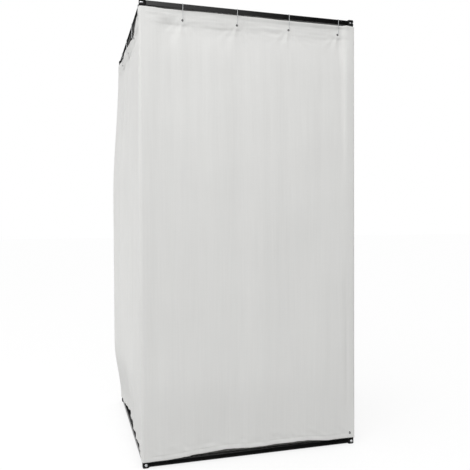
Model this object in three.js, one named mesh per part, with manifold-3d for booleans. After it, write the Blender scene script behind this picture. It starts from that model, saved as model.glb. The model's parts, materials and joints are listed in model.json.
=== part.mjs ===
// A portable fitting room: a square knock-down frame of steel tube, with a curtain hung all round it on
// wire hooks. The front stretch of the curtain is the door and slides along the top rail.
// Millimetres. X runs to the right along the front, Y to the back and Z up. The origin is on the floor
// under the middle of the frame.
import * as THREE from "three";
import { mergeVertices } from "three/addons/utils/BufferGeometryUtils.js";
import Module from "manifold-3d";

const wasm = await Module();
wasm.setup();

// The frame, measured over its corner connectors
const frameWidth = 1000;
const frameDepth = 1000;
const frameHeight = 2000;

// Clearances between pieces that fit together or nearly touch
const fitGap = 0.3;
const cutOverrun = 2;

// Square tube, used for rails and posts
const tubeSide = 22;
const tubeWall = 1.2;
const tubeRounding = 2.5;
const postJointHeight = 1000;
const swageLength = 60;
const swageWall = 1.5;
const swageShoulder = 3;

// Moulded corner connectors
const connectorSide = 29;
const connectorRounding = 8;
const connectorBevel = 1.5;
const spigotLength = 40;
const slotHeight = 5;
const slotDepth = 22;
const plateRecess = 0.6;
const plateRounding = 7;

// Round-headed bolt in each bottom connector
const boltHeadDiameter = 12.5;
const boltHeadHeight = 4;
const boltShankDiameter = 6;
const boltShankLength = 14;

// Wire hooks
const wireDiameter = 2.4;
const wireBend = 3.5;
const hookBackDrop = 15;
const hookReachPastCloth = 9;
const hookTipRise = 12;

// Eyelets
const eyeletBore = 4.4;
const eyeletBarrelWall = 0.7;
const eyeletFlangeDiameter = 9.5;
const eyeletFlangeThickness = 0.8;
const eyeletDrop = 46;
const hemEyeletHeight = 55;
const hemEyeletInset = 23;

// Curtain cloth
const clothThickness = 1.5;
const curtainTopGap = 2.5;
const hemHeight = 28;
const freeEdgeInset = 1;
const clothCornerRadius = 10;
const standOffAtTop = 2.2;
const standOffAtHem = 2.8;
const flatRoundEyelet = 12;
const columnStep = 58;
const rowStep = 240;

// How the cloth hangs between hem and top edge, as shares of its height
const bellyRiseShare = 0.4;
const bellyFallShare = 0.17;
const hemRiseShare = 0.2;
const foldDepthAtTopShare = 0.2;

// How far the cloth stands out low down: at the front left corner, in the middle of the front, towards the
// back on the slack left and right sides, and at the two back corners. It hangs straight beside the opening.
// Then the depth of its soft folds.
const bellyAtFrontLeft = 6;
const bellyAtFrontMiddle = 8;
const bellyTowardsBack = 36;
const bellyAtBackCorners = 14;
const foldDepthTaut = 5;
const foldDepthSlack = 12;

// At equal steps along a side, from the left as seen from outside: how far the top edge sags, how far it
// hangs back from its place at the corners, and how far the hem rises
const topSagsFront = [4, 4.5, 0.5, 0, 3, 7, 7, 6, 4];
const topSagsLeft = [4, 5, 5, 3, 10, 24, 4, 2, 4];
const topSagsSlack = [4, 7, 12, 6, 13, 7, 13, 6, 4];
const setBacksEven = [16, 16];
const setBacksLeft = [10, 10, 10, 12, 16, 18, 14, 10, 10];
const hemRisesFront = [0, 1.5, 12, 18, 12.5, 15.5, 15.5, 5, 4.5];
const hemRisesLeft = [0, 5, 11.5, 20, 14, 9.5, 10, 7, 0];
const hemRisesSlack = [0, 6, 11, 14, 14, 14, 11, 6, 0];

// Counts
const wireSides = 6;
const bendSteps = 2;
const roundSteps = 12;
const domeSteps = 3;
const arcSteps = 4;
const outlineSteps = 1;

// A box geometry's groups: the side that faces down Y, and the corners that make one square of its grid
const innerSideGroup = 3;
const cornersPerSquare = 6;

// The four sides, named for where they are and seen from outside, with left and right as seen from there.
// Each carries the corner at its right end. Hook shares are of the side's length from its left end.
// Bellies are how far the cloth stands out at the left end, the middle and the right end. Where the hem
// tucks in, it hangs back over the bottom rail as far as it rises.
const sides = [
  {
    name: "front",
    corner: "front_right",
    turn: 0,
    length: frameWidth,
    reach: frameDepth / 2,
    hookShares: [0.187, 0.432, 0.677, 0.922],
    belly: { left: bellyAtFrontLeft, middle: bellyAtFrontMiddle, right: 0 },
    foldDepth: foldDepthTaut,
    topSags: topSagsFront,
    setBacks: setBacksEven,
    hemRises: hemRisesFront,
    boltTurn: 0,
    isDoor: true,
  },
  {
    name: "right",
    corner: "back_right",
    turn: Math.PI / 2,
    length: frameDepth,
    reach: frameWidth / 2,
    hookShares: [0.09, 0.35, 0.61, 0.87],
    belly: { left: 0, middle: 0, right: bellyTowardsBack },
    foldDepth: foldDepthSlack,
    topSags: topSagsSlack,
    setBacks: setBacksEven,
    hemRises: hemRisesSlack,
    boltTurn: Math.PI / 2,
  },
  {
    name: "back",
    corner: "back_left",
    turn: Math.PI,
    length: frameWidth,
    reach: frameDepth / 2,
    hookShares: [0.13, 0.39, 0.65, 0.91],
    belly: { left: bellyAtBackCorners, middle: 0, right: bellyAtBackCorners },
    foldDepth: foldDepthSlack,
    topSags: topSagsSlack,
    setBacks: setBacksEven,
    hemRises: hemRisesSlack,
    boltTurn: 0,
  },
  {
    name: "left",
    corner: "front_left",
    turn: -Math.PI / 2,
    length: frameDepth,
    reach: frameWidth / 2,
    hookShares: [0.19, 0.437, 0.684, 0.931],
    belly: { left: bellyTowardsBack, middle: 0, right: bellyAtFrontLeft },
    foldDepth: foldDepthSlack,
    topSags: topSagsLeft,
    setBacks: setBacksLeft,
    hemRises: hemRisesLeft,
    boltTurn: Math.PI / 2,
    hemTucksIn: true,
  },
];

// Sizes that follow
const railInset = (connectorSide - tubeSide) / 2;
const tubeBore = tubeSide - 2 * tubeWall;
const spigotSide = tubeBore - 2 * fitGap;
const boreRounding = tubeRounding - tubeWall;
const railTop = frameHeight - railInset;
const railUnderside = railTop - tubeSide;
const curtainTop = railUnderside - curtainTopGap;
const wireRadius = wireDiameter / 2;
const wireStandOff = wireRadius + fitGap;
const eyeletHeight = railUnderside - eyeletDrop;
const eyeletHalfLength = clothThickness / 2 + fitGap + eyeletFlangeThickness;

const materials = {
  tube: new THREE.MeshStandardMaterial({ color: "#2b2b2c", roughness: 0.42, metalness: 0.1 }),
  moulding: new THREE.MeshStandardMaterial({ color: "#121213", roughness: 0.5, metalness: 0 }),
  plate: new THREE.MeshStandardMaterial({ color: "#c9cacb", roughness: 0.3, metalness: 1 }),
  bolt: new THREE.MeshStandardMaterial({ color: "#e6e7e8", roughness: 0.15, metalness: 1 }),
  wire: new THREE.MeshStandardMaterial({ color: "#b9babb", roughness: 0.3, metalness: 1 }),
  eyelet: new THREE.MeshStandardMaterial({ color: "#2c2c2e", roughness: 0.35, metalness: 1 }),
  cloth: new THREE.MeshStandardMaterial({ color: "#e3e2df", roughness: 0.95, metalness: 0 }),
};

// A geometry as a manifold solid, moved to a place if one is given.
function solidOf(geometry, x = 0, y = 0, z = 0) {
  const bare = geometry.clone();
  bare.deleteAttribute("normal");
  bare.deleteAttribute("uv");
  bare.translate(x, y, z);
  const merged = mergeVertices(bare);
  return new wasm.Manifold(
    new wasm.Mesh({
      numProp: 3,
      vertProperties: merged.getAttribute("position").array,
      triVerts: new Uint32Array(merged.index.array),
    }),
  );
}

// A manifold solid as a flat-shaded geometry.
function geometryOf(solid) {
  const mesh = solid.getMesh();
  const geometry = new THREE.BufferGeometry();
  geometry.setAttribute("position", new THREE.BufferAttribute(mesh.vertProperties, 3));
  geometry.setIndex(new THREE.BufferAttribute(mesh.triVerts, 1));
  const flat = geometry.toNonIndexed();
  flat.computeVertexNormals();
  return flat;
}

function piece(name, geometry, material) {
  const mesh = new THREE.Mesh(geometry, material);
  mesh.name = name;
  return mesh;
}

function smoothStep(share) {
  const held = THREE.MathUtils.clamp(share, 0, 1);
  return held * held * (3 - 2 * held);
}

// A square outline with rounded corners, centred on the origin.
function roundedSquare(side, rounding) {
  const half = side / 2;
  const centre = half - rounding;
  const outline = new THREE.Shape();
  outline.absarc(centre, -centre, rounding, -Math.PI / 2, 0, false);
  outline.absarc(centre, centre, rounding, 0, Math.PI / 2, false);
  outline.absarc(-centre, centre, rounding, Math.PI / 2, Math.PI, false);
  outline.absarc(-centre, -centre, rounding, Math.PI, Math.PI * 1.5, false);
  outline.closePath();
  return outline;
}

// A square tube that stands on the XY plane.
function squareTube(side, wall, rounding, length) {
  const outline = roundedSquare(side, rounding);
  outline.holes.push(roundedSquare(side - 2 * wall, Math.max(rounding - wall, wall / 2)));
  return new THREE.ExtrudeGeometry(outline, {
    depth: length,
    bevelEnabled: false,
    curveSegments: outlineSteps,
  });
}

// A rail that lies along X between two connectors, its middle at the origin.
function railGeometry(length) {
  const clear = length - 2 * (connectorSide + fitGap);
  const tube = squareTube(tubeSide, tubeWall, tubeRounding, clear);
  return tube.rotateY(Math.PI / 2).translate(-clear / 2, 0, 0);
}

// The lower post, whose reduced upper end plugs into the upper post.
function lowerPostGeometry() {
  const bottom = connectorSide + fitGap;
  const length = postJointHeight - bottom;
  const plug = spigotSide;
  const shoulder = squareTube(
    tubeSide,
    (tubeSide - plug) / 2 + swageWall,
    tubeRounding,
    swageShoulder,
  );
  const swage = squareTube(plug, swageWall, boreRounding, swageLength + swageShoulder);
  return geometryOf(
    solidOf(squareTube(tubeSide, tubeWall, tubeRounding, length), 0, 0, bottom)
      .add(solidOf(shoulder, 0, 0, postJointHeight - swageShoulder))
      .add(solidOf(swage, 0, 0, postJointHeight - swageShoulder)),
  );
}

function upperPostGeometry() {
  const bottom = postJointHeight + fitGap;
  const top = frameHeight - connectorSide - fitGap;
  return squareTube(tubeSide, tubeWall, tubeRounding, top - bottom).translate(0, 0, bottom);
}

// The moulded block with a plug for each tube that meets at the corner. Its middle is at the origin, the
// rails leave along -X and +Y, and the post leaves upwards or downwards.
function connectorBody(postDirection) {
  const block = new THREE.ExtrudeGeometry(
    roundedSquare(connectorSide, connectorRounding),
    {
      depth: connectorSide - 2 * connectorBevel,
      bevelThickness: connectorBevel,
      bevelSize: connectorBevel,
      bevelOffset: -connectorBevel,
      bevelSegments: 1,
      curveSegments: outlineSteps,
    },
  );
  const half = connectorSide / 2;
  const plug = new THREE.ExtrudeGeometry(roundedSquare(spigotSide, boreRounding), {
    depth: spigotLength + half,
    bevelEnabled: false,
    curveSegments: outlineSteps,
  });
  const along = plug.clone().rotateY(-Math.PI / 2);
  const across = plug.clone().rotateX(-Math.PI / 2);
  const upright = plug.clone().rotateX(postDirection > 0 ? 0 : Math.PI);
  return solidOf(block, 0, 0, connectorBevel - half)
    .add(solidOf(along))
    .add(solidOf(across))
    .add(solidOf(upright));
}

// Top connectors have a slot in their two outer faces for the steel plate.
function topConnectorGeometry() {
  const size = slotDepth + cutOverrun;
  const slot = new THREE.BoxGeometry(size, size, slotHeight);
  const outerFace = connectorSide / 2;
  const middle = outerFace + cutOverrun - size / 2;
  return geometryOf(connectorBody(-1).subtract(solidOf(slot, middle, -middle, 0)));
}

function cornerPlateGeometry() {
  const side = slotDepth - plateRecess - fitGap;
  const height = slotHeight - 2 * fitGap;
  const middle = connectorSide / 2 - plateRecess - side / 2;
  const plate = new THREE.ExtrudeGeometry(roundedSquare(side, plateRounding), {
    depth: height,
    bevelEnabled: false,
    curveSegments: outlineSteps * 2,
  });
  return plate.translate(middle, -middle, -height / 2);
}

// Turned along -Y, so that a bolt's head stands on a face that looks that way.
function turnedGeometry(profile) {
  return new THREE.LatheGeometry(profile, roundSteps).rotateX(Math.PI);
}

function bottomConnectorGeometry(boltTurn) {
  const bore = new THREE.CylinderGeometry(
    boltShankDiameter / 2 + fitGap,
    boltShankDiameter / 2 + fitGap,
    boltShankLength + fitGap + cutOverrun,
    roundSteps,
  );
  const depth = connectorSide / 2 + cutOverrun - (boltShankLength + fitGap + cutOverrun) / 2;
  bore.translate(0, -depth, 0).rotateZ(boltTurn);
  return geometryOf(connectorBody(1).subtract(solidOf(bore)));
}

function boltGeometry() {
  const seat = connectorSide / 2 + fitGap;
  const head = boltHeadDiameter / 2;
  const shank = boltShankDiameter / 2;
  const profile = [
    new THREE.Vector2(0, seat - boltShankLength),
    new THREE.Vector2(shank, seat - boltShankLength),
    new THREE.Vector2(shank, seat),
    new THREE.Vector2(head, seat),
  ];
  for (let step = 1; step < domeSteps; step += 1) {
    const angle = (step / domeSteps) * (Math.PI / 2);
    profile.push(
      new THREE.Vector2(head * Math.cos(angle), seat + boltHeadHeight * Math.sin(angle)),
    );
  }
  profile.push(new THREE.Vector2(0, seat + boltHeadHeight));
  return turnedGeometry(profile);
}

// A wire's centre line: straight runs and round bends, with all its steps spent in the bends.
class WirePath extends THREE.Curve {
  constructor(corners, bend) {
    super();
    this.runs = [];
    let from = corners[0];
    for (let index = 1; index < corners.length - 1; index += 1) {
      const corner = corners[index];
      const before = corner.clone().lerp(corners[index - 1], bend / corner.distanceTo(corners[index - 1]));
      const after = corner.clone().lerp(corners[index + 1], bend / corner.distanceTo(corners[index + 1]));
      this.runs.push({ curve: new THREE.LineCurve3(from, before), steps: 1 });
      this.runs.push({
        curve: new THREE.QuadraticBezierCurve3(before, corner, after),
        steps: bendSteps,
      });
      from = after;
    }
    this.runs.push({ curve: new THREE.LineCurve3(from, corners[corners.length - 1]), steps: 1 });
    this.steps = this.runs.reduce((sum, run) => sum + run.steps, 0);
  }

  getPoint(share) {
    let step = share * this.steps;
    for (const run of this.runs) {
      if (step <= run.steps) return run.curve.getPoint(step / run.steps);
      step -= run.steps;
    }
    return this.runs[this.runs.length - 1].curve.getPoint(1);
  }

  getUtoTmapping(share) {
    return share;
  }
}

// A hook in the plane x = 0: over the rail, down its outer face, through the eyelet and up behind it.
function hookGeometry(side, clothY) {
  const outer = -side.reach + railInset - wireStandOff;
  const inner = -side.reach + railInset + tubeSide + wireStandOff;
  const over = railTop + wireStandOff;
  const through = eyeletHeight + eyeletBore / 2 - wireStandOff;
  const tip = clothY + hookReachPastCloth;
  const path = new WirePath(
    [
      new THREE.Vector3(0, inner, railTop - hookBackDrop),
      new THREE.Vector3(0, inner, over),
      new THREE.Vector3(0, outer, over),
      new THREE.Vector3(0, outer, through),
      new THREE.Vector3(0, tip, through),
      new THREE.Vector3(0, tip, through + hookTipRise),
    ],
    wireBend,
  );
  const section = new THREE.Shape();
  for (let index = 0; index < wireSides; index += 1) {
    const angle = (index / wireSides) * Math.PI * 2;
    const point = [wireRadius * Math.cos(angle), wireRadius * Math.sin(angle)];
    if (index) section.lineTo(...point);
    else section.moveTo(...point);
  }
  section.closePath();
  return new THREE.ExtrudeGeometry(section, {
    steps: path.steps,
    extrudePath: path,
    bevelEnabled: false,
  });
}

// An eyelet on the Y axis: a barrel with a flange on each face of the cloth.
function eyeletGeometry() {
  const bore = eyeletBore / 2;
  const barrel = bore + eyeletBarrelWall;
  const flange = eyeletFlangeDiameter / 2;
  const end = eyeletHalfLength;
  const under = eyeletHalfLength - eyeletFlangeThickness;
  const profile = [
    [bore, -end],
    [flange, -end],
    [flange, -under],
    [barrel, -under],
    [barrel, under],
    [flange, under],
    [flange, end],
    [bore, end],
    [bore, -end],
  ];
  return new THREE.LatheGeometry(
    profile.map(([radius, along]) => new THREE.Vector2(radius, along)),
    roundSteps,
  );
}

// The eyelet of a fixed stretch is pressed tight and is one body with the cloth.
function pressedEyeletGeometry() {
  const bore = eyeletBore / 2;
  const flange = eyeletFlangeDiameter / 2;
  const end = eyeletHalfLength;
  const profile = [
    [bore, -end],
    [flange, -end],
    [flange, end],
    [bore, end],
    [bore, -end],
  ];
  return new THREE.LatheGeometry(
    profile.map(([radius, along]) => new THREE.Vector2(radius, along)),
    roundSteps,
  );
}

function holeGeometry(radius) {
  return new THREE.CylinderGeometry(radius, radius, clothThickness + 2 * cutOverrun, roundSteps);
}

function hookPlaces(side) {
  return side.hookShares.map((share) => (share - 0.5) * side.length);
}

// Where the cloth is kept flat: round the hooks' eyelets, and on the door round the one at its hem.
function flatPlaces(side) {
  const places = hookPlaces(side);
  if (side.isDoor) places.push(side.length / 2 - freeEdgeInset - hemEyeletInset);
  return places;
}

function flatHeights(side) {
  return side.isDoor ? [hemEyeletHeight, eyeletHeight] : [eyeletHeight];
}

// The middle of the flat patch that a value is in, or the value itself.
function settled(value, middles) {
  const near = middles.find((middle) => Math.abs(value - middle) <= flatRoundEyelet + fitGap);
  return near === undefined ? value : near;
}

// From 0 at each hook to 1 halfway between two hooks, and 0 past the last ones.
function betweenHooks(side, u) {
  const places = hookPlaces(side);
  const first = places[0];
  const last = places[places.length - 1];
  if (u <= first || u >= last) return 0;
  const step = (last - first) / (places.length - 1);
  return (1 - Math.cos(((u - first) / step) * Math.PI * 2)) / 2;
}

// From 0 in front of the posts to 1 over the stretch that hangs on the hooks.
function awayFromCorners(side, u) {
  const places = hookPlaces(side);
  const end = side.length / 2 - connectorSide;
  const first = places[0] - flatRoundEyelet;
  const last = places[places.length - 1] + flatRoundEyelet;
  if (u < first) return smoothStep((u + end) / (first + end));
  if (u > last) return smoothStep((end - u) / (end - last));
  return 1;
}

// A value at a place along a side, between those given at equal steps.
function atPlace(side, values, u) {
  const steps = values.length - 1;
  const along = THREE.MathUtils.clamp(u / side.length + 0.5, 0, 1) * steps;
  const step = Math.min(Math.floor(along), steps - 1);
  return THREE.MathUtils.lerp(values[step], values[step + 1], smoothStep(along - step));
}

// How far the cloth's middle stands outside the frame, at a place along a side and a height.
function standOff(side, u, height) {
  const place = settled(u, flatPlaces(side));
  const level = settled(height, flatHeights(side));
  const up = THREE.MathUtils.clamp((level - hemHeight) / (curtainTop - hemHeight), 0, 1);
  const along = place / side.length + 0.5;
  const hung = awayFromCorners(side, place);
  const straight = THREE.MathUtils.lerp(standOffAtHem, standOffAtTop, up);
  const tuck = side.hemTucksIn ? atPlace(side, side.hemRises, place) : 0;
  const setBack = THREE.MathUtils.lerp(tuck, hung * atPlace(side, side.setBacks, place), up);
  const bellyShape = smoothStep((1 - up) / bellyRiseShare) * smoothStep(up / bellyFallShare);
  const belly =
    THREE.MathUtils.lerp(side.belly.left, side.belly.right, smoothStep(along)) +
    side.belly.middle * hung;
  const fold =
    side.foldDepth *
    betweenHooks(side, place) *
    THREE.MathUtils.lerp(1, foldDepthAtTopShare, up) *
    smoothStep(up / bellyFallShare);
  return straight - setBack + belly * bellyShape + fold;
}

// The cloth's height at a place, with the sag of its top edge and the rise of its hem.
function clothHeight(side, u, height) {
  const place = settled(u, flatPlaces(side));
  const overEyelets = eyeletHeight + flatRoundEyelet;
  const nearTop = smoothStep((height - overEyelets) / (curtainTop - overEyelets));
  const up = (height - hemHeight) / (curtainTop - hemHeight);
  const nearHem = THREE.MathUtils.clamp(1 - up / hemRiseShare, 0, 1);
  const sag = atPlace(side, side.topSags, place);
  return height - sag * nearTop + atPlace(side, side.hemRises, place) * nearHem;
}

// Values from the first to the last, with each stretch between them divided into steps of about one size.
function divided(values, step) {
  const sorted = [...values].sort((a, b) => a - b);
  const made = [sorted[0]];
  for (let index = 1; index < sorted.length; index += 1) {
    const from = sorted[index - 1];
    const count = Math.max(1, Math.round((sorted[index] - from) / step));
    for (let part = 1; part <= count; part += 1) {
      made.push(THREE.MathUtils.lerp(from, sorted[index], part / count));
    }
  }
  return made;
}

// The columns of a stretch of cloth: places along the side, then angles round the corner at its right end.
function clothColumns(side) {
  const seam = side.length / 2 - clothCornerRadius - fitGap;
  const start = side.name === "right" ? -side.length / 2 : -seam;
  const end = side.isDoor ? side.length / 2 - freeEdgeInset : side.length / 2 - clothCornerRadius;
  const post = side.length / 2 - connectorSide - fitGap;
  const flats = flatPlaces(side).flatMap((place) => [
    place - flatRoundEyelet,
    place + flatRoundEyelet,
  ]);
  const inside = [-post, post, ...flats].filter((place) => place > start && place < end);
  const columns = divided([start, ...inside, end], columnStep).map((u) => ({ u, angle: 0 }));
  if (side.isDoor) return columns;
  for (let step = 1; step <= arcSteps; step += 1) {
    columns.push({ u: end, angle: ((step / arcSteps) * Math.PI) / 2 });
  }
  return columns;
}

function clothRows(side) {
  const flats = flatHeights(side).flatMap((height) => [
    height - flatRoundEyelet,
    height + flatRoundEyelet,
  ]);
  return divided([hemHeight, ...flats, curtainTop], rowStep);
}

// Turns the diagonals on one side of a box's grid, so that both sides of a thin wall bend along the same
// lines. Its six sides are in the order of its groups, and each square is two triangles.
function withEqualDiagonals(box) {
  const index = box.getIndex();
  const { start, count } = box.groups[innerSideGroup];
  for (let at = start; at < start + count; at += cornersPerSquare) {
    const [a, b, d, , c] = Array.from({ length: cornersPerSquare }, (_, step) => index.getX(at + step));
    [a, b, c, a, c, d].forEach((corner, step) => index.setX(at + step, corner));
  }
  return box;
}

// A stretch of cloth as a thin closed solid: a box whose grid is laid over the cloth's two faces.
function clothSolid(side, nextSide) {
  const columns = clothColumns(side);
  const rows = clothRows(side);
  const grid = withEqualDiagonals(
    new THREE.BoxGeometry(1, 1, 1, columns.length - 1, 1, rows.length - 1),
  );
  const points = grid.getAttribute("position");
  for (let index = 0; index < points.count; index += 1) {
    const column = columns[Math.round((points.getX(index) + 0.5) * (columns.length - 1))];
    const row = rows[Math.round((points.getZ(index) + 0.5) * (rows.length - 1))];
    const inward = points.getY(index) * clothThickness;
    const turned = column.angle / (Math.PI / 2);
    const here = standOff(side, column.u, row);
    const next = standOff(nextSide, clothCornerRadius - nextSide.length / 2, row);
    const out = THREE.MathUtils.lerp(here, next, smoothStep(turned)) - inward;
    const radius = clothCornerRadius + out;
    points.setXYZ(
      index,
      column.u + radius * Math.sin(column.angle),
      clothCornerRadius - side.reach - radius * Math.cos(column.angle),
      clothHeight(side, column.u, row),
    );
  }
  return solidOf(grid);
}

function curtainGeometry(side, nextSide) {
  let cloth = clothSolid(side, nextSide);
  const bore = eyeletBore / 2;
  const loose = bore + eyeletBarrelWall + fitGap;
  const fused = bore + eyeletBarrelWall / 2;
  for (const u of hookPlaces(side)) {
    const y = -side.reach - standOff(side, u, eyeletHeight);
    cloth = cloth.subtract(solidOf(holeGeometry(side.isDoor ? loose : fused), u, y, eyeletHeight));
    if (!side.isDoor) cloth = cloth.add(solidOf(pressedEyeletGeometry(), u, y, eyeletHeight));
  }
  if (side.isDoor) {
    const { u, y, z } = hemEyeletPlace(side);
    cloth = cloth.subtract(solidOf(holeGeometry(loose), u, y, z));
  }
  return geometryOf(cloth);
}

function hemEyeletPlace(side) {
  const u = side.length / 2 - freeEdgeInset - hemEyeletInset;
  return { u, y: -side.reach - standOff(side, u, hemEyeletHeight), z: hemEyeletHeight };
}

// Everything that belongs to one side and to the corner at its right end, in the side's own frame: X to
// the right as seen from outside, Y inwards.
function sideGroup(side, nextSide) {
  const group = new THREE.Group();
  const railY = -side.reach + connectorSide / 2;
  const cornerX = side.length / 2 - connectorSide / 2;
  const topLevel = frameHeight - connectorSide / 2;
  const bottomLevel = connectorSide / 2;

  for (const [level, z] of [["top", topLevel], ["bottom", bottomLevel]]) {
    const rail = piece(`rail_${level}_${side.name}`, railGeometry(side.length), materials.tube);
    rail.position.set(0, railY, z);
    group.add(rail);
  }

  const corner = new THREE.Group();
  corner.position.set(cornerX, railY, 0);
  group.add(corner);
  corner.add(piece(`post_lower_${side.corner}`, lowerPostGeometry(), materials.tube));
  corner.add(piece(`post_upper_${side.corner}`, upperPostGeometry(), materials.tube));

  const top = piece(`connector_top_${side.corner}`, topConnectorGeometry(), materials.moulding);
  const plate = piece(`corner_plate_${side.corner}`, cornerPlateGeometry(), materials.plate);
  for (const mesh of [top, plate]) {
    mesh.position.z = topLevel;
    corner.add(mesh);
  }
  const bottom = piece(
    `connector_bottom_${side.corner}`,
    bottomConnectorGeometry(side.boltTurn),
    materials.moulding,
  );
  const bolt = piece(`bolt_${side.corner}`, boltGeometry(), materials.bolt);
  bolt.rotation.z = side.boltTurn;
  for (const mesh of [bottom, bolt]) {
    mesh.position.z = bottomLevel;
    corner.add(mesh);
  }

  hookPlaces(side).forEach((u, index) => {
    const clothY = -side.reach - standOff(side, u, eyeletHeight);
    const number = index + 1;
    const hook = piece(`hook_${side.name}_${number}`, hookGeometry(side, clothY), materials.wire);
    hook.position.x = u;
    group.add(hook);
    if (!side.isDoor) return;
    const eyelet = piece(`eyelet_${side.name}_${number}`, eyeletGeometry(), materials.eyelet);
    eyelet.position.set(u, clothY, eyeletHeight);
    group.add(eyelet);
  });
  if (side.isDoor) {
    const { u, y, z } = hemEyeletPlace(side);
    const eyelet = piece("eyelet_hem", eyeletGeometry(), materials.eyelet);
    eyelet.position.set(u, y, z);
    group.add(eyelet);
  }

  group.add(piece(`curtain_${side.name}`, curtainGeometry(side, nextSide), materials.cloth));
  group.rotation.z = side.turn;
  return group;
}

const fittingRoom = new THREE.Group();
sides.forEach((side, index) => {
  fittingRoom.add(sideGroup(side, sides[(index + 1) % sides.length]));
});

export default fittingRoom;
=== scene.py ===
"""A portable fitting room: square black tube frame, moulded corners, and a white curtain on wire hooks.

Lengths are in millimetres, as in the part's own drawing, until a piece is finished. Each side is made in
its own frame, X to the right as seen from outside and Y inwards, and then turned to where it stands.
"""
import json
import math

import bmesh
import bpy
from mathutils import Matrix, Vector, noise

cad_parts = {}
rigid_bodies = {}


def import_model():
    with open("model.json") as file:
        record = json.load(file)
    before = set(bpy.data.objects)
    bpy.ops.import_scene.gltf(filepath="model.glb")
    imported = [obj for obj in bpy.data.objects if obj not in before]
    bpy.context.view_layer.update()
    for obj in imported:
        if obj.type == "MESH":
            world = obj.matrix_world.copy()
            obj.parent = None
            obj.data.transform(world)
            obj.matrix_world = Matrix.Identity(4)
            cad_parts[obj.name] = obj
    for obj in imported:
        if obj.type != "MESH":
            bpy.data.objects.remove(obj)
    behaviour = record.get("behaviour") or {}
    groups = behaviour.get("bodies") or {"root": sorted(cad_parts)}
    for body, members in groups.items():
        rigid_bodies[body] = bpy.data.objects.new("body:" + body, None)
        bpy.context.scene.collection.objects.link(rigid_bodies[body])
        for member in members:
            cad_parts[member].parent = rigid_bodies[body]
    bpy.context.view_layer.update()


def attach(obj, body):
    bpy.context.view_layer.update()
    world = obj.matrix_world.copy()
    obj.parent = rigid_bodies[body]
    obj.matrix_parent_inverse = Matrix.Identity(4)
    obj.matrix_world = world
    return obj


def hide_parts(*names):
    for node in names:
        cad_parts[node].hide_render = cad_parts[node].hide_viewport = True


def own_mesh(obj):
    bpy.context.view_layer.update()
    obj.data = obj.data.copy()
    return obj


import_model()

MM = 0.001
QUARTER = math.pi / 2

# The frame and its tube
FRAME_SIDE = 1000
FRAME_HEIGHT = 2000
TUBE_SIDE = 22
CONNECTOR_SIDE = 29
CONNECTOR_ROUNDING = 8
PLUG_SIDE = 19
PLUG_ROUNDING = 1.3
PLUG_REACH = 40
PLUG_LEAD_IN = 0.8
SLOT_HALF = 2.5
SLOT_DEPTH = 22
PLATE_SIDE = 21.1
PLATE_ROUNDING = 7
PLATE_SET_BACK = 0.6
BOLT_GAP = 0.3
RAIL_INSET = (CONNECTOR_SIDE - TUBE_SIDE) / 2
RAIL_TOP = FRAME_HEIGHT - RAIL_INSET
RAIL_UNDERSIDE = RAIL_TOP - TUBE_SIDE
REACH = FRAME_SIDE / 2

# Edges in steps, each a height and how far the outline is drawn in there: of a connector's outer face, of
# the rim of its slot and of a corner plate's face
LOBE_EDGE = [(0, 3.2), (0.25, 2.1), (0.9, 1.1), (2.0, 0.35), (3.4, 0)]
LOBE_RIM = [(-1.4, 0), (-0.6, 0.3), (-0.1, 0.9), (0, 1.6)]
PLATE_EDGE = [(2.2, 0.5), (1.9, 0.1), (1.7, 0)]

# A bolt's rings, as radii and heights over its seat; the socket's are measured to the middle of its flats
BOLT_SOCKET = [(1.9, 1.9), (2.0, 3.75)]
BOLT_HEAD = [(2.45, 4.0), (3.2, 3.86), (4.1, 3.4), (5.0, 2.65), (5.7, 1.7), (6.1, 0.8), (6.25, 0.2),
             (6.1, 0)]
BOLT_SHANK = [(3, 0), (3, -13), (2.4, -14)]

# The cloth, as it is cut and as it hangs. The right stretch starts behind the front stretch's free edge,
# which curls in.
CURTAIN_UNDER_RAIL = 2.5
CURTAIN_TOP = RAIL_UNDERSIDE - CURTAIN_UNDER_RAIL
HEM_HEIGHT = 28
CLOTH_THICKNESS = 0.45
FOLD_GAP = 0.9
HEADING_DEPTH = 66
HEM_DEPTH = 21
FREE_EDGE_DEPTH = 45
FREE_EDGE = REACH - 2
FREE_EDGE_CURL = 4.2
FREE_EDGE_CURL_WIDTH = 36
RIGHT_EDGE = 4 - REACH
CORNER_RADIUS = 6
CORNER_EASE = 4
CORNER_ARC = CORNER_RADIUS + CORNER_EASE
SEAM = REACH - CORNER_RADIUS
LOW_STAND_OFF = 2.8
HIGH_STAND_OFF = 2.2

# Lines of stitches: the heading's two under the top edge, the hem's over the bottom edge, and the turned
# edges' in from the edge. The cloth is divided a little to both sides of each.
UPPER_STITCHES = 25
LOWER_STITCHES = HEADING_DEPTH - 2
HEM_STITCHES = HEM_DEPTH - 2
EDGE_STITCHES = FREE_EDGE_DEPTH - 3
BESIDE_STITCHES = 2
STITCH_PITCH = 3.2
STITCH_HALF_LENGTH = 1.25
THREAD_RADIUS = 0.28
STITCH_CLEARANCE = 1.5

# Hooks and eyelets, and the cloth round an eyelet: flat near it, and with no creases at all nearer still
EYELET_HEIGHT = RAIL_UNDERSIDE - 46
HEM_EYELET_HEIGHT = 55
HEM_EYELET_PLACE = REACH - 24
EYELET_BORE = 2.2
EYELET_FLANGE = 4.75
EYELET_HALF_LENGTH = 1.85
CLOTH_HOLE = 3.3
FLAT_ROUND_EYELET = 12
CREASES_START = 9
CREASES_FULL = 31
WIRE_RADIUS = 1.2
WIRE_GAP = 0.3
WIRE_BEND = 3.5
WIRE_STAND_OFF = WIRE_RADIUS + WIRE_GAP
WIRE_CHAMFER = 0.4
WIRE_CHAMFER_LENGTH = 0.35
HOOK_INNER_LEG = 15
HOOK_TIP_REACH = 9
HOOK_TIP_RISE = 12

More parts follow.
